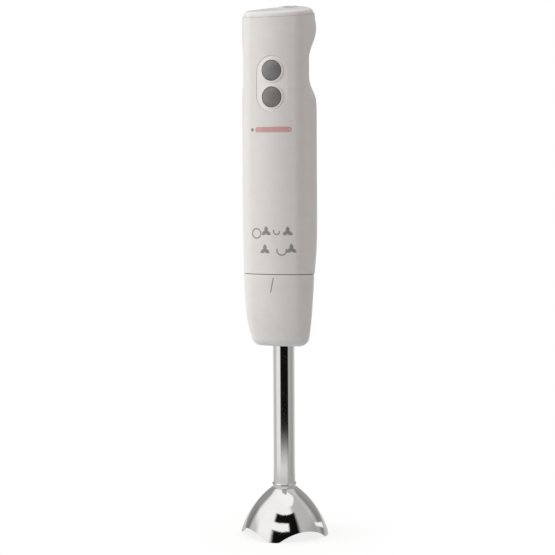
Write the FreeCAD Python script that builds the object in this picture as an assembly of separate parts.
import FreeCAD, Part
import math
import os

# Hand blender in millimetres: a motor handle with two push buttons, and a foot (collar, steel tube, bell
# and blade) that locks under the handle with a short twist.
# The origin is on the drive axis at the bell's rim. +Z points up the handle and the buttons face -Y.

Vector = FreeCAD.Vector
ORIGIN = Vector(0, 0, 0)
ACROSS = Vector(1, 0, 0)
BACKWARD = Vector(0, 1, 0)
UP = Vector(0, 0, 1)

# ---- driving dimensions: heights ----
BELL_NECK_Z = 38.2
COLLAR_BOTTOM_Z = 139.8
COLLAR_TOP_Z = 192.45
HANDLE_BOTTOM_Z = 192.95
TOP_AT_AXIS_Z = 383.2
TOP_SLOPE_DEG = 10.0

# ---- outline of the handle, seen from above ----
SIDE_X = 12.5
SIDE_Y = -6.6
SIDE_R = 15.0
FRONT_R = 60.0
FLANK_R = 70.0
BACK_Y = 9.0
BACK_R = 17.0
FRONT_CENTRE_Y = SIDE_Y + math.sqrt((FRONT_R - SIDE_R) ** 2 - SIDE_X ** 2)
FRONT_Y = FRONT_CENTRE_Y - FRONT_R
WALL = 2.2
LIP = 1.1
SPLIT_Y = 2.0
SPLIT_GAP = 0.2

# The finger recess: where the waist share is 1, the outline's rear corners and back draw in this far.
WAIST_CORNER_R = 5.0
WAIST_LEAN_DEG = 45.5
WAIST_BACK_DROP = 4.0
WAIST_BACK_SHRINK = 2.0

# Stations up the handle and the collar: height, waist share, and how far the whole outline shrinks.
HANDLE_STATIONS = [
    (186.0, 0.40, 0.0),
    (196.0, 0.28, 0.0),
    (210.0, 0.08, 0.0),
    (228.0, 0.0, 0.0),
    (268.0, 0.0, 0.0),
    (302.0, 0.0, 0.0),
    (313.0, 0.02, 0.0),
    (318.5, 0.12, 0.0),
    (324.5, 0.56, 0.0),
    (331.0, 0.96, 0.0),
    (340.0, 1.0, 0.0),
    (349.0, 0.97, 0.0),
    (356.5, 0.52, 0.0),
    (363.5, 0.10, 0.1),
    (370.0, 0.0, 0.25),
    (382.0, 0.0, 0.4),
    (396.0, 0.0, 0.6),
]
COLLAR_STATIONS = [
    (COLLAR_BOTTOM_Z, 0.0, 6.4),
    (147.9, 0.12, 5.0),
    (153.8, 0.30, 3.3),
    (165.3, 0.48, 1.2),
    (178.3, 0.46, 0.4),
    (COLLAR_TOP_Z, 0.42, 0.05),
]
COLLAR_ROUNDING = 7.5
COLLAR_WALL = 2.2

# ---- top cap and cord gland ----
CAP_THICKNESS = 3.6
CAP_STEP = 1.1
CAP_GAP = 0.15
CAP_EDGE_R = 3.0
CAP_SKIRT_WALL = 1.5
CAP_SKIRT_DEPTH = 4.0
GLAND_Y = 13.0
GLAND_BORE_R = 3.6
GLAND_R = 5.8
GLAND_FLANGE_R = 7.2
GLAND_RISE = 0.6
GLAND_BOTTOM_Z = 371.0

# ---- buttons ----
LOWER_BUTTON_Z = 319.0
UPPER_BUTTON_Z = 337.8
BUTTON_HEIGHTS = {"upper": UPPER_BUTTON_Z, "lower": LOWER_BUTTON_Z}
PANEL_Z = 328.4
PANEL_WIDTH = 23.6
PANEL_HEIGHT = 40.0
PANEL_CLEARANCE = 0.1
PANEL_DROP = 0.2
PANEL_WALL = 2.6
PANEL_LIP = 1.8
BUTTON_R = 7.1
BUTTON_GAP = 0.3
BUTTON_RIM = 1.15
BUTTON_RIM_RISE = 0.2
GUIDE_END_Y = -17.2
BUTTON_FRONT_Y = FRONT_Y - 1.4
BUTTON_DOME_R = 18.0
BUTTON_FLANGE_R = 8.2
BUTTON_FLANGE = 1.2
BUTTON_TRAVEL = 2.2
STEM_R = 1.6
SPRING_R = 3.4
SPRING_WIRE_R = 0.22
SPRING_TURNS = 3.5

# ---- switch board ----
BOARD_FRONT_Y = -6.0
BOARD_THICKNESS = 1.6
BOARD_HALF_WIDTH = 12.5
BOARD_BOTTOM_Z = 298.0
BOARD_TOP_Z = 357.0
SWITCH_HALF = 6.0
SWITCH_FRONT_Y = -12.0
PLUNGER_FRONT_Y = -13.6
PLUNGER_BACK_Y = -11.2
PLUNGER_R = 1.7
PLUNGER_HOLE_R = 2.0
BOARD_POST_X = 8.0
BOARD_POST_R = 2.4
BOARD_POST_HEIGHTS = (301.0, 354.0)
BOARD_SCREW_R = 1.0
BOARD_SCREW_DEPTH = 6.0

# ---- screws that hold the two half shells together ----
SHELL_SCREWS = [(-11.0, 290.0), (11.0, 290.0), (0.0, 363.0)]
SCREW_SEAT_Y = 15.0
SCREW_R = 1.5
SCREW_LENGTH = 24.0
SCREW_HEAD_R = 2.8
SCREW_HEAD = 2.0
BOSS_R = 3.6

# ---- cooling slots in the rear shell ----
VENT_COUNT = 7
VENT_PITCH = 4.4
VENT_HALF_WIDTH = 7.0
VENT_HEIGHT = 1.8
VENT_BOTTOM_Z = 232.0

# ---- motor ----
SHAFT_R = 2.5
RUNNING_GAP = 0.05
SHAFT_BOTTOM_Z = 197.0
SHAFT_TOP_Z = 281.5
CAN_R = 19.0
CAN_WALL = 1.2
CAN_BOTTOM_Z = 215.0
CAN_TOP_Z = 274.0
CAN_BOSS_R = 6.7
AIR_SLOT_IN_R = 8.5
AIR_SLOT_OUT_R = 14.5
AIR_SLOT_DEG = 50.0
MAGNET_IN_R = 15.6
MAGNET_DEG = 140.0
ROTOR_R = 15.0
ROTOR_BOTTOM_Z = 226.0
ROTOR_TOP_Z = 258.0
ROTOR_SLOTS = 10
COIL_OUT_R = 13.5
COIL_IN_R = 4.5
COMMUTATOR_R = 6.0
COMMUTATOR_TOP_Z = 273.0
BEARING_R = 5.5
HOLDER_X = 11.6
BRUSH_LOW_Z = 266.0
BRUSH_HIGH_Z = 271.0
END_CAP = 2.5
END_CAP_BOSS_R = 7.0
LEAD_X = 6.0
LEAD_R = 0.7
FAN_R = 16.5
FAN_HUB_R = 5.0
FAN_BOTTOM_Z = 206.0
FAN_TOP_Z = 213.0
FAN_BLADES = 9
MOUNT_R = 20.9
MOUNT_BANDS = [(217.0, 223.0), (264.0, 270.0)]
RIB = 3.0

# ---- drive coupling ----
DOG_R = 6.5
DOG_TOOTH_DEG = 66.0
DOG_TOOTH_INNER_R = 2.8
DOG_POCKET_Z = 172.5
ROD_TOP_Z = 187.5
DRIVEN_DOG_BOTTOM_Z = 175.0
DRIVEN_TOOTH_TOP_Z = 195.6
DRIVE_TOOTH_BOTTOM_Z = 188.6
DRIVE_DOG_TOP_Z = 204.0

# ---- twist lock ----
LOCK_BORE_R = 17.5
SPIGOT_R = 17.1
SPIGOT_IN_R = 14.6
SPIGOT_TOP_Z = 199.0
LUG_R = 19.0
LUG_DEG = 20.0
LUG_BOTTOM_Z = 195.3
LUG_TOP_Z = 198.5
LOCK_GAP = 0.35
LOCK_TURN_DEG = 30.0
LOCK_CLEAR_DEG = 1.5
LOCK_TOP_Z = 203.0

# ---- foot ----
TUBE_R = 8.0
TUBE_WALL = 0.8
TUBE_BOTTOM_Z = 33.0
TUBE_TOP_Z = 158.0
SOCKET_R = 9.8
PLATE_BOTTOM_Z = 183.0
COLLAR_SCREW_RING_R = 12.4
COLLAR_SCREW_HEADINGS = (60, 180, 300)
COLLAR_BOSS_R = 2.4
COLLAR_SCREW_R = 0.9
ROD_R = 2.5
ROD_BOTTOM_Z = 4.2
BUSH_R = 4.5
LOWER_BUSH = (21.0, 33.0)
UPPER_BUSH = (160.5, 172.0)
HUB_R = 9.0
HUB_BOTTOM_Z = 14.0
HUB_TOP_Z = 46.0
SEAL_R = 6.5
SEAL_BOTTOM_Z = 15.0
SEAL_TOP_Z = 19.0
CLIP_R = 4.6
CLIP_BOTTOM_Z = 173.0
CLIP_THICKNESS = 0.8

# ---- bell ----
BELL_RADIUS = 32.3
BELL_ARC_R = 62.8
BELL_ARC_Z = -15.7
BELL_ARC_X = BELL_RADIUS - math.sqrt(BELL_ARC_R ** 2 - BELL_ARC_Z ** 2)
BELL_WALL = 1.0
BEAD_R = 8.9
BEAD_FOOT_R = 8.3
BEAD_HEIGHT = 1.9
SHOULDER_R = 9.5
SHOULDER_UNDER_R = 9.8
ARCH_HALF_WIDTH = 19.6
ARCH_HEIGHT = 6.8
LOBE_ROUNDING = 4.0
LOBE_TURN_DEG = 4.0

# ---- blade ----
BLADE_Z = 9.2
BLADE_THICKNESS = 1.2
BLADE_REACH = 22.0
BLADE_ROOT = 10.0
BLADE_TIP = 6.5
BLADE_HUB_R = 6.0
UP_WING_DEG = 24.0
DOWN_WING_DEG = 12.0
WING_TWIST_DEG = 8.0
NUT_R = 4.6
NUT_BOTTOM_Z = 5.2
THREAD_R = 2.0
SHOULDER_Z = 9.0
SPACER_R = 3.8
SPACER_TOP_Z = 14.6


# ---- small shape helpers ----
def cylinder(radius, low, high, x=0.0, y=0.0):
    """Upright cylinder between two heights."""
    return Part.makeCylinder(radius, high - low, Vector(x, y, low), UP)


def ring(outer, inner, low, high):
    """Upright ring on the drive axis."""
    return cylinder(outer, low, high).cut(cylinder(inner, low - 1, high + 1))


def rod_back(radius, front, back, x, z):
    """Cylinder that runs from front to back."""
    return Part.makeCylinder(radius, back - front, Vector(x, front, z), BACKWARD)


def block(x_range, y_range, z_range):
    """Box given by its three ranges."""
    size = [high - low for low, high in (x_range, y_range, z_range)]
    return Part.makeBox(*size, Vector(x_range[0], y_range[0], z_range[0]))


def sector(outer, inner, low, high, heading_deg, width_deg):
    """Piece of a ring, centred on one heading about the drive axis."""
    piece = Part.makeCylinder(outer, high - low, Vector(0, 0, low), UP, width_deg)
    piece = piece.cut(cylinder(inner, low - 1, high + 1))
    piece.rotate(ORIGIN, UP, heading_deg - width_deg / 2)
    return piece


def turned(points):
    """Solid of revolution about the drive axis from (radius, height) corners."""
    corners = [Vector(radius, 0, height) for radius, height in points]
    profile = Part.Face(Part.makePolygon(corners + corners[:1]))
    return profile.revolve(ORIGIN, UP, 360)


def fuse(shapes):
    """One shape from several that overlap."""
    whole = shapes[0]
    for shape in shapes[1:]:
        whole = whole.fuse(shape)
    return whole.removeSplitter()


def stadium(width, height, front, back):
    """Upright slot-shaped prism around the button panel's centre, running front to back."""
    radius = width / 2
    straight = height / 2 - radius
    middle = block((-radius, radius), (front, back), (PANEL_Z - straight, PANEL_Z + straight))
    ends = [rod_back(radius, front, back, 0, PANEL_Z + side * straight) for side in (-1, 1)]
    return fuse([middle] + ends)


# ---- the handle's outline and the bodies lofted from it ----
def tangent_centre(first, first_r, second, second_r, radius):
    """Centre of a large arc that holds two circles and touches both, bulging to +X."""
    reach_a = radius - first_r
    reach_b = radius - second_r
    span = (second - first).Length
    along = (reach_a ** 2 - reach_b ** 2 + span ** 2) / (2 * span)
    aside = math.sqrt(reach_a ** 2 - along ** 2)
    direction = (second - first).normalize()
    normal = Vector(-direction.y, direction.x, 0)
    return first + direction * along + normal * aside


def point_on(centre, radius, towards, height):
    """Point of a circle on the line from its centre towards another point."""
    direction = (towards - centre).normalize()
    spot = centre + direction * radius
    return Vector(spot.x, spot.y, height)


def arc_about(centre, start, end):
    """Short arc between two points about a centre at the same height."""
    hub = Vector(centre.x, centre.y, start.z)
    middle = ((start - hub) + (end - hub)).normalize() * (start - hub).Length
    return Part.Arc(start, hub + middle, end).toShape()


def mirrored(point):
    """The same point on the other side of the handle."""
    return Vector(-point.x, point.y, point.z)


def outline(height, waist, trim):
    """Closed outline at one height: eight arcs, each running smoothly into the next."""
    lean = math.radians(WAIST_LEAN_DEG)
    outward = Vector(math.cos(lean), -math.sin(lean), 0)
    corner_r = SIDE_R - (SIDE_R - WAIST_CORNER_R) * waist
    back_r = BACK_R - WAIST_BACK_SHRINK * waist
    front = Vector(0, FRONT_CENTRE_Y, 0)
    side = Vector(SIDE_X, SIDE_Y, 0)
    corner = side + outward * (SIDE_R - corner_r)
    back = Vector(0, BACK_Y - WAIST_BACK_DROP * waist, 0)
    flank = tangent_centre(corner, corner_r, back, back_r, FLANK_R)

    front_end = point_on(front, FRONT_R - trim, side, height)
    side_end = point_on(side, SIDE_R - trim, side + outward, height)
    corner_end = point_on(flank, FLANK_R - trim, corner, height)
    flank_end = point_on(flank, FLANK_R - trim, back, height)
    right = [
        arc_about(side, front_end, side_end),
        arc_about(corner, side_end, corner_end),
        arc_about(flank, corner_end, flank_end),
    ]
    left = [
        arc_about(mirrored(flank), mirrored(flank_end), mirrored(corner_end)),
        arc_about(mirrored(corner), mirrored(corner_end), mirrored(side_end)),
        arc_about(mirrored(side), mirrored(side_end), mirrored(front_end)),
    ]
    front_arc = arc_about(front, mirrored(front_end), front_end)
    back_arc = arc_about(back, flank_end, mirrored(flank_end))
    return Part.Wire([front_arc] + right + [back_arc] + left)


def lofted(stations, inset=0.0):
    """Solid through a row of outlines, all drawn in by the same inset."""
    wires = [outline(height, waist, trim + inset) for height, waist, trim in stations]
    return Part.makeLoft(wires, True, False)


def under_top(drop):
    """Everything below the slanted top, lowered by a distance square to the slant."""
    slab = Part.makeBox(200, 200, 400, Vector(-100, -100, -400 - drop))
    slab.rotate(ORIGIN, ACROSS, TOP_SLOPE_DEG)
    slab.translate(Vector(0, 0, TOP_AT_AXIS_Z))
    return slab


HANDLE_OUTER = lofted(HANDLE_STATIONS)
HANDLE_MIDDLE = lofted(HANDLE_STATIONS, LIP)
HANDLE_INNER = lofted(HANDLE_STATIONS, WALL)
ABOVE_SEAM = block((-60, 60), (-60, 60), (HANDLE_BOTTOM_Z, 420))
SHELL_ZONE = under_top(CAP_THICKNESS + CAP_GAP).common(ABOVE_SEAM)


# ---- handle ----
def housing():
    """Hollow handle with the ribs that hold the motor's rubber mounts, before it is split."""
    walls = HANDLE_OUTER.cut(HANDLE_INNER)
    ribs = []
    for low, high in MOUNT_BANDS:
        middle = (low + high) / 2
        band = block((-60, 60), (-60, 60), (middle - RIB / 2, middle + RIB / 2))
        ribs.append(HANDLE_MIDDLE.common(band).cut(cylinder(MOUNT_R, low, high)))
    return fuse([walls] + ribs).common(SHELL_ZONE)


def split_lip(gap):
    """Inner lip that crosses the split line, up to a gap short of its rebate."""
    crossing = block((-60, 60), (SPLIT_Y - SPLIT_GAP, SPLIT_Y + 1.6 + gap), (HANDLE_BOTTOM_Z, 372))
    return HANDLE_MIDDLE.cut(HANDLE_INNER).common(crossing)


def front_shell():
    """Front half: button panel opening, screw bosses, board posts and the inner lip."""
    half = HOUSING.common(block((-60, 60), (-60, SPLIT_Y - SPLIT_GAP / 2), (180, 420)))
    bosses = [rod_back(BOSS_R, FRONT_Y, SPLIT_Y - SPLIT_GAP / 2, x, z) for x, z in SHELL_SCREWS]
    posts = [
        rod_back(BOARD_POST_R, FRONT_Y, BOARD_FRONT_Y, x, z)
        for x in (-BOARD_POST_X, BOARD_POST_X)
        for z in BOARD_POST_HEIGHTS
    ]
    inside = fuse(bosses + posts).common(HANDLE_MIDDLE)
    shell = fuse([half, split_lip(0.0), inside])
    shell = shell.cut(stadium(PANEL_WIDTH, PANEL_HEIGHT, -40, -15))
    for x, z in SHELL_SCREWS:
        shell = shell.cut(rod_back(SCREW_R, SCREW_SEAT_Y - SCREW_LENGTH, 10, x, z))
    for x in (-BOARD_POST_X, BOARD_POST_X):
        for z in BOARD_POST_HEIGHTS:
            shell = shell.cut(rod_back(BOARD_SCREW_R, BOARD_FRONT_Y - BOARD_SCREW_DEPTH, 0, x, z))
    return shell


def rear_shell():
    """Rear half: finger recess, screw bosses with sunk seats, cooling slots and the rebate."""
    half = HOUSING.common(block((-60, 60), (SPLIT_Y + SPLIT_GAP / 2, 60), (180, 420)))
    half = half.cut(split_lip(0.15))
    bosses = []
    for x, z in SHELL_SCREWS:
        bosses.append(rod_back(BOSS_R, SPLIT_Y + SPLIT_GAP / 2, 30, x, z))
    shell = fuse([half] + [boss.common(HANDLE_OUTER) for boss in bosses])
    for x, z in SHELL_SCREWS:
        shell = shell.cut(rod_back(SCREW_R, 0, 40, x, z))
        shell = shell.cut(rod_back(SCREW_HEAD_R + 0.3, SCREW_SEAT_Y, 40, x, z))
    for step in range(VENT_COUNT):
        low = VENT_BOTTOM_Z + step * VENT_PITCH
        slot = block((-VENT_HALF_WIDTH, VENT_HALF_WIDTH), (20, 40), (low, low + VENT_HEIGHT))
        shell = shell.cut(slot)
    return shell


def top_cap():
    """Domed, slanted lid a step inside the shells' outline, with a skirt and the cord gland's hole."""
    lid = lofted(HANDLE_STATIONS, CAP_STEP).common(under_top(0.0)).cut(under_top(CAP_THICKNESS))
    top_edges = [edge for edge in lid.Edges if lies_on_top(edge)]
    lid = lid.makeFillet(CAP_EDGE_R, top_edges)
    deep = under_top(CAP_THICKNESS - 0.5).cut(under_top(CAP_THICKNESS + CAP_SKIRT_DEPTH))
    inside = lofted(HANDLE_STATIONS, WALL + 0.1)
    core = lofted(HANDLE_STATIONS, WALL + 0.1 + CAP_SKIRT_WALL)
    skirt = inside.cut(core).common(deep)
    cap = fuse([lid, skirt])
    return cap.cut(cylinder(GLAND_R, 360, 400, 0, GLAND_Y))


def lies_on_top(edge):
    """True when both ends and the middle of an edge lie in the slanted top plane."""
    slope = math.tan(math.radians(TOP_SLOPE_DEG))
    first, last = edge.ParameterRange
    spots = [edge.valueAt(value) for value in (first, (first + last) / 2, last)]
    return all(abs(spot.z - TOP_AT_AXIS_Z - spot.y * slope) < 0.05 for spot in spots)


def cord_gland():
    """Bushing for the mains lead, with a flange that stands proud of the slanted top."""
    body = cylinder(GLAND_R, GLAND_BOTTOM_Z, 400, 0, GLAND_Y).common(under_top(0.0))
    flange = cylinder(GLAND_FLANGE_R, 360, 400, 0, GLAND_Y)
    flange = flange.common(under_top(-GLAND_RISE)).cut(under_top(0.0))
    bore = cylinder(GLAND_BORE_R, 360, 400, 0, GLAND_Y)
    return fuse([body, flange]).cut(bore)


def latch_ring():
    """Ring in the handle's mouth with three bayonet slots and a roof over the coupling."""
    slab = block((-60, 60), (-60, 60), (HANDLE_BOTTOM_Z + 0.25, LOCK_TOP_Z))
    body = lofted(HANDLE_STATIONS, WALL + 0.05).common(slab)
    body = body.cut(cylinder(LOCK_BORE_R, 180, SPIGOT_TOP_Z + LOCK_GAP))
    body = body.cut(cylinder(DOG_R + 1.0, 180, 210))
    for heading in (0, 120, 240):
        sweep = LUG_DEG + LOCK_TURN_DEG + 2 * LOCK_CLEAR_DEG
        low = LUG_BOTTOM_Z - LOCK_GAP
        high = LUG_TOP_Z + LOCK_GAP
        centre = heading + LOCK_TURN_DEG / 2
        body = body.cut(sector(LUG_R + LOCK_GAP, 10, low, high, centre, sweep))
        entry = LUG_DEG + 2 * LOCK_CLEAR_DEG
        body = body.cut(sector(LUG_R + LOCK_GAP, 10, 180, high, heading + LOCK_TURN_DEG, entry))
    return body


def screw(head_r, head, shank_r, length, seat_y, x, z):
    """Pan-head screw driven forward from its seat, with a cross recess."""
    body = fuse([
        rod_back(head_r, seat_y, seat_y + head, x, z),
        rod_back(shank_r, seat_y - length, seat_y + head / 2, x, z),
    ])
    slot = head_r * 0.6
    for half_x, half_z in ((slot, 0.35), (0.35, slot)):
        recess = block((x - half_x, x + half_x), (seat_y + head * 0.4, seat_y + 9), (z - half_z, z + half_z))
        body = body.cut(recess)
    return body


def shell_screws():
    """Three screws that draw the rear shell onto the front shell."""
    sizes = (SCREW_HEAD_R, SCREW_HEAD, SCREW_R, SCREW_LENGTH, SCREW_SEAT_Y)
    return Part.makeCompound([screw(*sizes, x, z) for x, z in SHELL_SCREWS])


# ---- button panel, buttons and switch board ----
def front_skin(depth):
    """Everything further back than a skin that follows the handle's crowned front."""
    return Part.makeCylinder(FRONT_R - depth, 120, Vector(0, FRONT_CENTRE_Y, 270), UP)


def button_bezel():
    """Recessed panel with a raised rim and a guide for each button, clipped in from behind."""
    width = PANEL_WIDTH - 2 * PANEL_CLEARANCE
    height = PANEL_HEIGHT - 2 * PANEL_CLEARANCE
    plate = stadium(width, height, -30, -15).common(front_skin(PANEL_DROP))
    plate = plate.cut(front_skin(PANEL_WALL))
    flange = stadium(width + 2 * PANEL_LIP, height + 2 * PANEL_LIP, -30, -15)
    flange = flange.common(front_skin(WALL + 0.05)).cut(front_skin(WALL + 1.3))
    pieces = [plate, flange]
    bore_r = BUTTON_R + BUTTON_GAP
    for height in BUTTON_HEIGHTS.values():
        guide = rod_back(bore_r + BUTTON_RIM, -30, GUIDE_END_Y, 0, height)
        pieces.append(guide.common(front_skin(-BUTTON_RIM_RISE)))
    panel = fuse(pieces)
    for height in BUTTON_HEIGHTS.values():
        panel = panel.cut(rod_back(bore_r, -30, -10, 0, height))
    return panel


def button(height):
    """Push button with a shallow domed face, a flange behind its guide and a stem."""
    face_centre = Vector(0, BUTTON_FRONT_Y + BUTTON_DOME_R, height)
    cap = rod_back(BUTTON_R, -30, GUIDE_END_Y + BUTTON_GAP + 0.1, 0, height)
    cap = cap.common(Part.makeSphere(BUTTON_DOME_R, face_centre))
    edges = [edge for edge in cap.Edges if edge.BoundBox.YMax < FRONT_Y + 2.0 and edge.BoundBox.XLength > 2]
    cap = cap.makeFillet(0.6, edges)
    flange_y = GUIDE_END_Y + BUTTON_GAP
    flange = rod_back(BUTTON_FLANGE_R, flange_y, flange_y + BUTTON_FLANGE, 0, height)
    stem = rod_back(STEM_R, flange_y, PLUNGER_FRONT_Y, 0, height)
    return fuse([cap, flange, stem])


def button_spring(height):
    """Return spring between the button's flange and its switch."""
    low = GUIDE_END_Y + BUTTON_GAP + BUTTON_FLANGE + SPRING_WIRE_R + 0.05
    high = SWITCH_FRONT_Y - SPRING_WIRE_R - 0.05
    length = high - low
    helix = Part.makeHelix(length / SPRING_TURNS, length, SPRING_R)
    section = Part.Wire(Part.makeCircle(SPRING_WIRE_R, Vector(SPRING_R, 0, 0), BACKWARD))
    coil = Part.Wire(helix).makePipeShell([section], True, True)
    coil.rotate(ORIGIN, ACROSS, -90)
    coil.translate(Vector(0, low, height))
    return coil


def plunger(height):
    """Switch plunger under the button's stem."""
    return rod_back(PLUNGER_R, PLUNGER_FRONT_Y, PLUNGER_BACK_Y, 0, height)


def switch(height):
    """Key switch soldered to the board, with a well for its plunger and four pins."""
    half = SWITCH_HALF
    case = block((-half, half), (SWITCH_FRONT_Y, BOARD_FRONT_Y), (height - half, height + half))
    case = case.makeChamfer(0.5, [edge for edge in case.Edges if edge.BoundBox.YMax < SWITCH_FRONT_Y + 0.1])
    well_y = PLUNGER_BACK_Y + BUTTON_TRAVEL + 0.5
    return case.cut(rod_back(PLUNGER_HOLE_R, SWITCH_FRONT_Y - 1, well_y, 0, height))


def circuit_board():
    """Upright board behind the buttons, screwed to four posts of the front shell."""
    back = BOARD_FRONT_Y + BOARD_THICKNESS
    width = (-BOARD_HALF_WIDTH, BOARD_HALF_WIDTH)
    board = block(width, (BOARD_FRONT_Y, back), (BOARD_BOTTOM_Z, BOARD_TOP_Z))
    for x in (-BOARD_POST_X, BOARD_POST_X):
        for z in BOARD_POST_HEIGHTS:
            board = board.cut(rod_back(BOARD_SCREW_R + 0.1, -10, 0, x, z))
    return board


def board_screws():
    """Four small screws through the board."""
    seat = BOARD_FRONT_Y + BOARD_THICKNESS
    length = BOARD_THICKNESS + BOARD_SCREW_DEPTH - 1.0
    sizes = (2.0, 1.4, BOARD_SCREW_R - 0.02, length, seat)
    spots = [(x, z) for x in (-BOARD_POST_X, BOARD_POST_X) for z in BOARD_POST_HEIGHTS]
    return Part.makeCompound([screw(*sizes, x, z) for x, z in spots])


def suppression_capacitor():
    """Box-shaped mains capacitor on the back of the board."""
    back = BOARD_FRONT_Y + BOARD_THICKNESS
    box = block((-8, 5), (back, back + 6), (315, 329))
    return box.makeChamfer(0.4, [edge for edge in box.Edges if edge.BoundBox.YMin > back + 5])


def speed_diode():
    """Diode that halves the mains for the slower speed, lying across the board's back."""
    back = BOARD_FRONT_Y + BOARD_THICKNESS
    body = Part.makeCylinder(2.4, 9, Vector(-4.5, back + 2.6, 337), ACROSS)
    wire = Part.makeCylinder(0.5, 15, Vector(-7.5, back + 2.6, 337), ACROSS)
    legs = [rod_back(0.4, back, back + 2.6, x, 337) for x in (-7.0, 7.0)]
    return fuse([body, wire] + legs)


def motor_leads():
    """Two insulated leads from the board down to the motor's end cap."""
    y = BOARD_FRONT_Y + BOARD_THICKNESS / 2
    leads = [cylinder(LEAD_R, CAN_TOP_Z + END_CAP, BOARD_BOTTOM_Z, x, y) for x in (-LEAD_X, LEAD_X)]
    return Part.makeCompound(leads)


# ---- motor ----
def motor_can():
    """Drawn steel case with a boss for the lower bearing and slots in its floor for air."""
    wall = ring(CAN_R, CAN_R - CAN_WALL, CAN_BOTTOM_Z, CAN_TOP_Z)
    floor = cylinder(CAN_R, CAN_BOTTOM_Z, CAN_BOTTOM_Z + 2)
    boss = cylinder(CAN_BOSS_R, CAN_BOTTOM_Z, CAN_BOTTOM_Z + 6)
    can = fuse([wall, floor, boss])
    can = can.cut(cylinder(BEARING_R, CAN_BOTTOM_Z + 1, CAN_BOTTOM_Z + 8))
    can = can.cut(cylinder(SHAFT_R + 0.5, CAN_BOTTOM_Z - 1, CAN_BOTTOM_Z + 3))
    for heading in range(45, 360, 90):
        low = CAN_BOTTOM_Z - 1
        can = can.cut(sector(AIR_SLOT_OUT_R, AIR_SLOT_IN_R, low, CAN_BOTTOM_Z + 3, heading, AIR_SLOT_DEG))
    return can


def motor_magnets():
    """Two curved magnets inside the can."""
    low = ROTOR_BOTTOM_Z - 2
    high = ROTOR_TOP_Z + 2
    outer = CAN_R - CAN_WALL
    return Part.makeCompound([sector(outer, MAGNET_IN_R, low, high, side, MAGNET_DEG) for side in (0, 180)])


def motor_end_cap():
    """Plastic cap that closes the can and carries the brushes and the upper bearing."""
    disc = cylinder(CAN_R, CAN_TOP_Z, CAN_TOP_Z + END_CAP)
    boss = cylinder(END_CAP_BOSS_R, CAN_TOP_Z, SHAFT_TOP_Z + 1.5)
    pieces = [disc, boss]
    for side in (-1, 1):
        width = (side * HOLDER_X - 4.4, side * HOLDER_X + 4.4)
        pieces.append(block(width, (-3.6, 3.6), (264.6, CAN_TOP_Z)))
    cap = fuse(pieces)
    cap = cap.cut(cylinder(BEARING_R, SHAFT_TOP_Z - 4.5, SHAFT_TOP_Z + 0.5))
    cap = cap.cut(cylinder(SHAFT_R + 0.5, CAN_TOP_Z - 1, SHAFT_TOP_Z))
    channel = block((-15.2, 15.2), (-2.3, 2.3), (BRUSH_LOW_Z, BRUSH_HIGH_Z))
    return cap.cut(channel)


def motor_brushes():
    """Two carbon brushes against the commutator."""
    brush = []
    for side in (-1, 1):
        ends = sorted((side * (COMMUTATOR_R + 0.1), side * 12.5))
        brush.append(block(ends, (-2.2, 2.2), (BRUSH_LOW_Z + 0.1, BRUSH_HIGH_Z - 0.1)))
    return Part.makeCompound(brush)


def brush_springs():
    """Two small coil springs that press the brushes in."""
    springs = []
    for side in (-1, 1):
        helix = Part.makeHelix(0.8, 2.3, 1.5)
        section = Part.Wire(Part.makeCircle(0.15, Vector(1.5, 0, 0), BACKWARD))
        coil = Part.Wire(helix).makePipeShell([section], True, True)
        coil.rotate(ORIGIN, BACKWARD, side * 90)
        coil.translate(Vector(side * 12.7, 0, (BRUSH_LOW_Z + BRUSH_HIGH_Z) / 2))
        springs.append(coil)
    return Part.makeCompound(springs)


def bearing(low, high):
    """Sintered bearing around the motor shaft."""
    return ring(BEARING_R, SHAFT_R + RUNNING_GAP, low, high)


def motor_mount(low, high):
    """Rubber ring that holds one end of the can in the handle's ribs."""
    middle = (low + high) / 2
    body = ring(MOUNT_R + 1.4, CAN_R, low, high)
    groove = ring(MOUNT_R + 3, MOUNT_R, middle - RIB / 2, middle + RIB / 2)
    return body.cut(groove).common(lofted(HANDLE_STATIONS, WALL + 0.1))


def rotor_shaft():
    """Steel motor shaft from the coupling to the upper bearing."""
    shaft = cylinder(SHAFT_R, SHAFT_BOTTOM_Z, SHAFT_TOP_Z)
    return shaft.makeChamfer(0.4, shaft.Edges[:1])


def rotor_core():
    """Stack of slotted steel sheets."""
    core = ring(ROTOR_R, SHAFT_R, ROTOR_BOTTOM_Z, ROTOR_TOP_Z)
    for index in range(ROTOR_SLOTS):
        slot = block((8.0, ROTOR_R + 2), (-1.0, 1.0), (ROTOR_BOTTOM_Z - 1, ROTOR_TOP_Z + 1))
        slot.rotate(ORIGIN, UP, index * 360 / ROTOR_SLOTS)
        core = core.cut(slot)
    return core


def rotor_windings():
    """Copper coils: a ring of end turns at each end and a bar in every slot."""
    pieces = [
        ring(COIL_OUT_R, COIL_IN_R, ROTOR_BOTTOM_Z - 3.6, ROTOR_BOTTOM_Z),
        ring(COIL_OUT_R, COIL_IN_R, ROTOR_TOP_Z, ROTOR_TOP_Z + 5),
    ]
    for index in range(ROTOR_SLOTS):
        bar = block((8.2, COIL_OUT_R - 0.1), (-0.9, 0.9), (ROTOR_BOTTOM_Z - 1, ROTOR_TOP_Z + 1))
        bar.rotate(ORIGIN, UP, index * 360 / ROTOR_SLOTS)
        pieces.append(bar)
    return fuse(pieces)


def commutator():
    """Copper commutator with a cut between its bars."""
    body = ring(COMMUTATOR_R, SHAFT_R, ROTOR_TOP_Z + 6, COMMUTATOR_TOP_Z)
    for index in range(ROTOR_SLOTS):
        cut = block((COMMUTATOR_R - 0.8, COMMUTATOR_R + 1), (-0.2, 0.2), (265, COMMUTATOR_TOP_Z + 1))
        cut.rotate(ORIGIN, UP, index * 360 / ROTOR_SLOTS)
        body = body.cut(cut)
    return body


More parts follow.
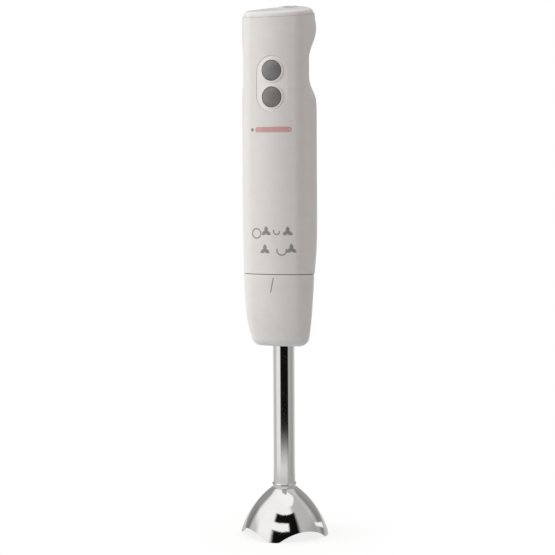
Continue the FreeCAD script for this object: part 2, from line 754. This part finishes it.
def cooling_fan():
    """Radial fan under the motor."""
    pieces = [
        cylinder(FAN_R, FAN_BOTTOM_Z, FAN_BOTTOM_Z + 1),
        cylinder(FAN_HUB_R, FAN_BOTTOM_Z, FAN_TOP_Z),
    ]
    for index in range(FAN_BLADES):
        vane = block((FAN_HUB_R - 1, FAN_R - 0.5), (-0.6, 0.6), (FAN_BOTTOM_Z + 0.5, FAN_TOP_Z))
        vane.rotate(ORIGIN, UP, index * 360 / FAN_BLADES)
        pieces.append(vane)
    return fuse(pieces).cut(cylinder(SHAFT_R, 200, 220))


def drive_dog():
    """Coupling half on the motor shaft, with two teeth that point down."""
    body = ring(DOG_R, SHAFT_R, DRIVEN_TOOTH_TOP_Z + 0.9, DRIVE_DOG_TOP_Z)
    teeth = []
    for heading in (90, 270):
        high = DRIVEN_TOOTH_TOP_Z + 2
        teeth.append(sector(DOG_R, DOG_TOOTH_INNER_R, DRIVE_TOOTH_BOTTOM_Z, high, heading, DOG_TOOTH_DEG))
    return fuse([body] + teeth)


# ---- foot ----
def foot_collar():
    """Tapering plastic cover under the seam, rounded where it meets the tube."""
    outer = lofted(COLLAR_STATIONS)
    bottom = [edge for edge in outer.Edges if edge.BoundBox.ZMax < COLLAR_BOTTOM_Z + 0.1]
    outer = outer.makeFillet(COLLAR_ROUNDING, bottom)
    hollow = lofted(COLLAR_STATIONS, COLLAR_WALL)
    keep = block((-60, 60), (-60, 60), (COLLAR_BOTTOM_Z + 6.0, 260))
    collar = outer.cut(hollow.common(keep))
    spots = [collar_screw_spot(heading) for heading in COLLAR_SCREW_HEADINGS]
    bosses = [cylinder(COLLAR_BOSS_R, COLLAR_BOTTOM_Z + 4, PLATE_BOTTOM_Z - 0.05, x, y) for x, y in spots]
    collar = fuse([collar] + [boss.common(lofted(COLLAR_STATIONS, 1.0)) for boss in bosses])
    for x, y in spots:
        collar = collar.cut(cylinder(COLLAR_SCREW_R, PLATE_BOTTOM_Z - 9, 200, x, y))
    return collar.cut(cylinder(TUBE_R + 0.05, 120, 200))


def collar_screw_spot(heading):
    """Plan position of one of the foot's three screws."""
    angle = math.radians(heading)
    return COLLAR_SCREW_RING_R * math.cos(angle), COLLAR_SCREW_RING_R * math.sin(angle)


def foot_core():
    """Inner carrier: top plate with the bayonet spigot, and a socket for the tube and upper bush."""
    slab = block((-60, 60), (-60, 60), (PLATE_BOTTOM_Z, COLLAR_TOP_Z))
    plate = lofted(COLLAR_STATIONS, COLLAR_WALL + 0.05).common(slab)
    socket = cylinder(SOCKET_R, 148.0, 185.0)
    spigot = cylinder(SPIGOT_R, 185.0, SPIGOT_TOP_Z)
    lugs = [sector(LUG_R, 12, LUG_BOTTOM_Z, LUG_TOP_Z, heading, LUG_DEG) for heading in (0, 120, 240)]
    core = fuse([plate, socket, spigot] + lugs)
    core = core.cut(cylinder(SPIGOT_IN_R, 186.0, 210))
    core = core.cut(cylinder(DOG_R + 1.5, DOG_POCKET_Z, 210))
    core = core.cut(cylinder(BUSH_R, UPPER_BUSH[0] - 0.5, 180))
    core = core.cut(cylinder(TUBE_R, 140.0, TUBE_TOP_Z))
    core = core.cut(cylinder(ROD_R + 0.8, 140.0, 180))
    for heading in COLLAR_SCREW_HEADINGS:
        core = core.cut(collar_screw(heading, 186.5))
    return core


def collar_screw(heading, head_top):
    """One screw of the foot, driven down through the core's plate into a boss of the collar."""
    x, y = collar_screw_spot(heading)
    head = cylinder(1.9, PLATE_BOTTOM_Z + 1.5, head_top, x, y)
    shank = cylinder(COLLAR_SCREW_R, PLATE_BOTTOM_Z - 8.0, PLATE_BOTTOM_Z + 2.0, x, y)
    return fuse([head, shank])


def collar_screws():
    """Three screws that hold the core down in the collar."""
    head_top = PLATE_BOTTOM_Z + 2.7
    return Part.makeCompound([collar_screw(heading, head_top) for heading in COLLAR_SCREW_HEADINGS])


def steel_tube():
    """Long stainless tube between the collar and the bell."""
    return ring(TUBE_R, TUBE_R - TUBE_WALL, TUBE_BOTTOM_Z, TUBE_TOP_Z)


def bell_height(radius, arc_r):
    """Height of the bell's side arc at a radius."""
    return BELL_ARC_Z + math.sqrt(arc_r ** 2 - (radius - BELL_ARC_X) ** 2)


def bell_arc(start_r, end_r, arc_r, start_z, end_z):
    """Arc of the bell's side between two radii."""
    middle_r = (start_r + end_r) / 2
    middle = Vector(middle_r, 0, bell_height(middle_r, arc_r))
    return Part.Arc(Vector(start_r, 0, start_z), middle, Vector(end_r, 0, end_z)).toShape()


def arch_cutter():
    """Prism through the bell on one line, under a shallow round arch with rounded feet."""
    arch_r = (ARCH_HALF_WIDTH ** 2 + ARCH_HEIGHT ** 2) / (2 * ARCH_HEIGHT)
    slope = math.asin(ARCH_HALF_WIDTH / arch_r)
    reach = LOBE_ROUNDING * math.tan(slope / 2)
    lift = LOBE_ROUNDING * (1 / math.cos(slope / 2) - 1)
    foot = [
        Vector(ARCH_HALF_WIDTH - reach * math.cos(slope), reach * math.sin(slope), 0),
        Vector(ARCH_HALF_WIDTH + lift * math.sin(slope / 2), lift * math.cos(slope / 2), 0),
        Vector(ARCH_HALF_WIDTH + reach, 0, 0),
    ]
    other_foot = [mirrored(point) for point in foot]
    arcs = [
        Part.Arc(other_foot[0], Vector(0, ARCH_HEIGHT, 0), foot[0]),
        Part.Arc(*foot),
        Part.Arc(*other_foot),
    ]
    below = Vector(0, -3, 0)
    base = Part.makePolygon([foot[2], foot[2] + below, other_foot[2] + below, other_foot[2]])
    edges = [arc.toShape() for arc in arcs] + base.Edges
    face = Part.Face(Part.Wire(Part.__sortEdges__(edges)))
    cutter = face.extrude(Vector(0, 0, 80))
    cutter.translate(Vector(0, 0, -40))
    cutter.rotate(ORIGIN, ACROSS, 90)
    return cutter


def bell_guard():
    """Domed steel guard with a bead round its neck and four lobes that reach down past the blade."""
    inner_arc = BELL_ARC_R - BELL_WALL
    rim_in = BELL_ARC_X + math.sqrt(inner_arc ** 2 - BELL_ARC_Z ** 2)
    top_z = bell_height(SHOULDER_R, BELL_ARC_R)
    under_z = bell_height(SHOULDER_UNDER_R, inner_arc)
    bead_foot = Vector(BEAD_FOOT_R, 0, BELL_NECK_Z - BEAD_HEIGHT)
    bead_top = Vector(TUBE_R, 0, BELL_NECK_Z)
    edges = [
        bell_arc(BELL_RADIUS, SHOULDER_R, BELL_ARC_R, 0, top_z),
        Part.makePolygon([Vector(SHOULDER_R, 0, top_z), Vector(BEAD_FOOT_R, 0, top_z + 0.6), bead_foot]),
        Part.Arc(bead_foot, Vector(BEAD_R, 0, BELL_NECK_Z - BEAD_HEIGHT / 2), bead_top).toShape(),
        Part.makePolygon([
            bead_top,
            Vector(TUBE_R, 0, TUBE_BOTTOM_Z),
            Vector(SHOULDER_UNDER_R, 0, TUBE_BOTTOM_Z),
            Vector(SHOULDER_UNDER_R, 0, under_z),
        ]),
        bell_arc(SHOULDER_UNDER_R, rim_in, inner_arc, under_z, 0),
        Part.makePolygon([Vector(rim_in, 0, 0), Vector(BELL_RADIUS, 0, 0)]),
    ]
    loose = [edge for part in edges for edge in part.Edges]
    profile = Part.Face(Part.Wire(Part.__sortEdges__(loose)))
    bell = profile.revolve(ORIGIN, UP, 360)
    for heading in (45, 135):
        cutter = arch_cutter()
        cutter.rotate(ORIGIN, UP, heading + LOBE_TURN_DEG)
        bell = bell.cut(cutter)
    return bell


def bearing_housing():
    """Plastic hub in the tube's lower end that holds the seal and the lower bush."""
    head = cylinder(HUB_R, HUB_BOTTOM_Z, TUBE_BOTTOM_Z - 0.4)
    body = fuse([head, cylinder(TUBE_R - TUBE_WALL, SEAL_TOP_Z + 1, HUB_TOP_Z)])
    body = body.cut(cylinder(SEAL_R, 10.0, SEAL_TOP_Z + 0.2))
    body = body.cut(cylinder(BUSH_R, SEAL_BOTTOM_Z, LOWER_BUSH[1] + 1))
    body = body.cut(cylinder(ROD_R + 0.8, 10.0, 50.0))
    shoulder = [edge for edge in body.Edges if abs(edge.BoundBox.XLength - 2 * HUB_R) < 0.1]
    return body.makeChamfer(0.8, shoulder)


def shaft_seal():
    """Lip seal that keeps food out of the lower bush."""
    lip_r = ROD_R + 0.06
    return turned([
        (SEAL_R, SEAL_BOTTOM_Z),
        (SEAL_R, SEAL_TOP_Z),
        (lip_r, SEAL_TOP_Z),
        (lip_r, SEAL_TOP_Z - 1.0),
        (4.2, SEAL_TOP_Z - 2.0),
        (4.9, SEAL_BOTTOM_Z),
    ])


def bush(low, high):
    """Sintered bush around the drive rod."""
    return ring(BUSH_R, ROD_R + RUNNING_GAP, low, high)


def drive_rod():
    """Long steel rod that carries the blade."""
    return fuse([cylinder(ROD_R, SHOULDER_Z, ROD_TOP_Z), cylinder(THREAD_R, ROD_BOTTOM_Z, SHOULDER_Z + 1)])


def driven_dog():
    """Coupling half on the rod, with two teeth that point up between the motor's."""
    body = ring(DOG_R, ROD_R, DRIVEN_DOG_BOTTOM_Z, DRIVE_TOOTH_BOTTOM_Z - 0.9)
    teeth = []
    for heading in (0, 180):
        low = DRIVE_TOOTH_BOTTOM_Z - 2
        teeth.append(sector(DOG_R, DOG_TOOTH_INNER_R, low, DRIVEN_TOOTH_TOP_Z, heading, DOG_TOOTH_DEG))
    return fuse([body] + teeth)


def rod_clip():
    """Open clip in front of the upper bush that stops the rod dropping out."""
    clip = ring(CLIP_R, ROD_R, CLIP_BOTTOM_Z, CLIP_BOTTOM_Z + CLIP_THICKNESS)
    return clip.cut(block((0, 8), (-1.8, 1.8), (170, 176)))


def wing(bend_deg, side):
    """One wing of the blade with its ground edge, bent up or down where it leaves the hub."""
    start = BLADE_HUB_R - 1.5
    outline_points = [
        Vector(start, -BLADE_ROOT / 2, 0),
        Vector(BLADE_REACH - 1.5, -BLADE_TIP / 2, 0),
        Vector(BLADE_REACH, 0, 0),
        Vector(BLADE_REACH - 2.5, BLADE_TIP / 2, 0),
        Vector(start, BLADE_ROOT / 2, 0),
        Vector(start, -BLADE_ROOT / 2, 0),
    ]
    plate = Part.Face(Part.makePolygon(outline_points)).extrude(Vector(0, 0, BLADE_THICKNESS))
    bevel = Part.makeBox(40, 6, 4, Vector(0, -BLADE_ROOT / 2 - 3.6, 0.3))
    bevel.rotate(Vector(0, -BLADE_ROOT / 2, 0.3), ACROSS, 20)
    plate = plate.cut(bevel)
    plate.rotate(Vector(start, 0, 0), ACROSS, WING_TWIST_DEG)
    plate.rotate(Vector(start, 0, BLADE_THICKNESS / 2), BACKWARD, -bend_deg)
    plate.translate(Vector(0, 0, BLADE_Z))
    plate.rotate(ORIGIN, UP, 0 if side > 0 else 180)
    return plate


def blade():
    """Two-winged steel blade, one wing bent up and the other down."""
    hub = cylinder(BLADE_HUB_R, BLADE_Z, BLADE_Z + BLADE_THICKNESS)
    body = fuse([hub, wing(UP_WING_DEG, 1), wing(-DOWN_WING_DEG, -1)])
    return body.cut(cylinder(ROD_R, 0, 30))


def blade_spacer():
    """Steel collar between the blade and the hub."""
    return ring(SPACER_R, ROD_R, BLADE_Z + BLADE_THICKNESS, SPACER_TOP_Z)


def blade_nut():
    """Hexagon nut under the blade."""
    corners = []
    for heading in range(0, 420, 60):
        angle = math.radians(heading)
        corners.append(Vector(NUT_R * math.cos(angle), NUT_R * math.sin(angle), NUT_BOTTOM_Z))
    nut = Part.Face(Part.makePolygon(corners)).extrude(Vector(0, 0, BLADE_Z - NUT_BOTTOM_Z))
    dome = Part.makeSphere(6.4, Vector(0, 0, NUT_BOTTOM_Z + 5.2))
    return nut.common(dome).cut(cylinder(THREAD_R, 0, SHOULDER_Z)).cut(cylinder(ROD_R, SHOULDER_Z, 12))


# ---- every sub-part by name ----
HOUSING = housing()

PIECES = {
    "front_shell": front_shell,
    "rear_shell": rear_shell,
    "top_cap": top_cap,
    "cord_gland": cord_gland,
    "latch_ring": latch_ring,
    "shell_screws": shell_screws,
    "button_bezel": button_bezel,
    "circuit_board": circuit_board,
    "board_screws": board_screws,
    "suppression_capacitor": suppression_capacitor,
    "speed_diode": speed_diode,
    "motor_leads": motor_leads,
    "motor_can": motor_can,
    "motor_magnets": motor_magnets,
    "motor_end_cap": motor_end_cap,
    "motor_brushes": motor_brushes,
    "brush_springs": brush_springs,
    "lower_bearing": lambda: bearing(CAN_BOTTOM_Z + 1, CAN_BOTTOM_Z + 6),
    "upper_bearing": lambda: bearing(SHAFT_TOP_Z - 4.5, SHAFT_TOP_Z + 0.5),
    "lower_motor_mount": lambda: motor_mount(*MOUNT_BANDS[0]),
    "upper_motor_mount": lambda: motor_mount(*MOUNT_BANDS[1]),
    "rotor_shaft": rotor_shaft,
    "rotor_core": rotor_core,
    "rotor_windings": rotor_windings,
    "commutator": commutator,
    "cooling_fan": cooling_fan,
    "drive_dog": drive_dog,
    "foot_collar": foot_collar,
    "foot_core": foot_core,
    "collar_screws": collar_screws,
    "steel_tube": steel_tube,
    "bell_guard": bell_guard,
    "bearing_housing": bearing_housing,
    "shaft_seal": shaft_seal,
    "lower_bush": lambda: bush(*LOWER_BUSH),
    "upper_bush": lambda: bush(*UPPER_BUSH),
    "drive_rod": drive_rod,
    "driven_dog": driven_dog,
    "rod_clip": rod_clip,
    "blade": blade,
    "blade_spacer": blade_spacer,
    "blade_nut": blade_nut,
}
for place, level in BUTTON_HEIGHTS.items():
    PIECES[place + "_button"] = lambda level=level: button(level)
    PIECES[place + "_spring"] = lambda level=level: button_spring(level)
    PIECES[place + "_plunger"] = lambda level=level: plunger(level)
    PIECES[place + "_switch"] = lambda level=level: switch(level)

os.makedirs("parts", exist_ok=True)
for name, make in PIECES.items():
    shape = make()
    box = shape.BoundBox
    print("%-22s solids %d valid %s volume %9.1f  z %.1f to %.1f" % (
        name, len(shape.Solids), shape.isValid(), shape.Volume, box.ZMin, box.ZMax))
    shape.exportStep("parts/%s.step" % name)
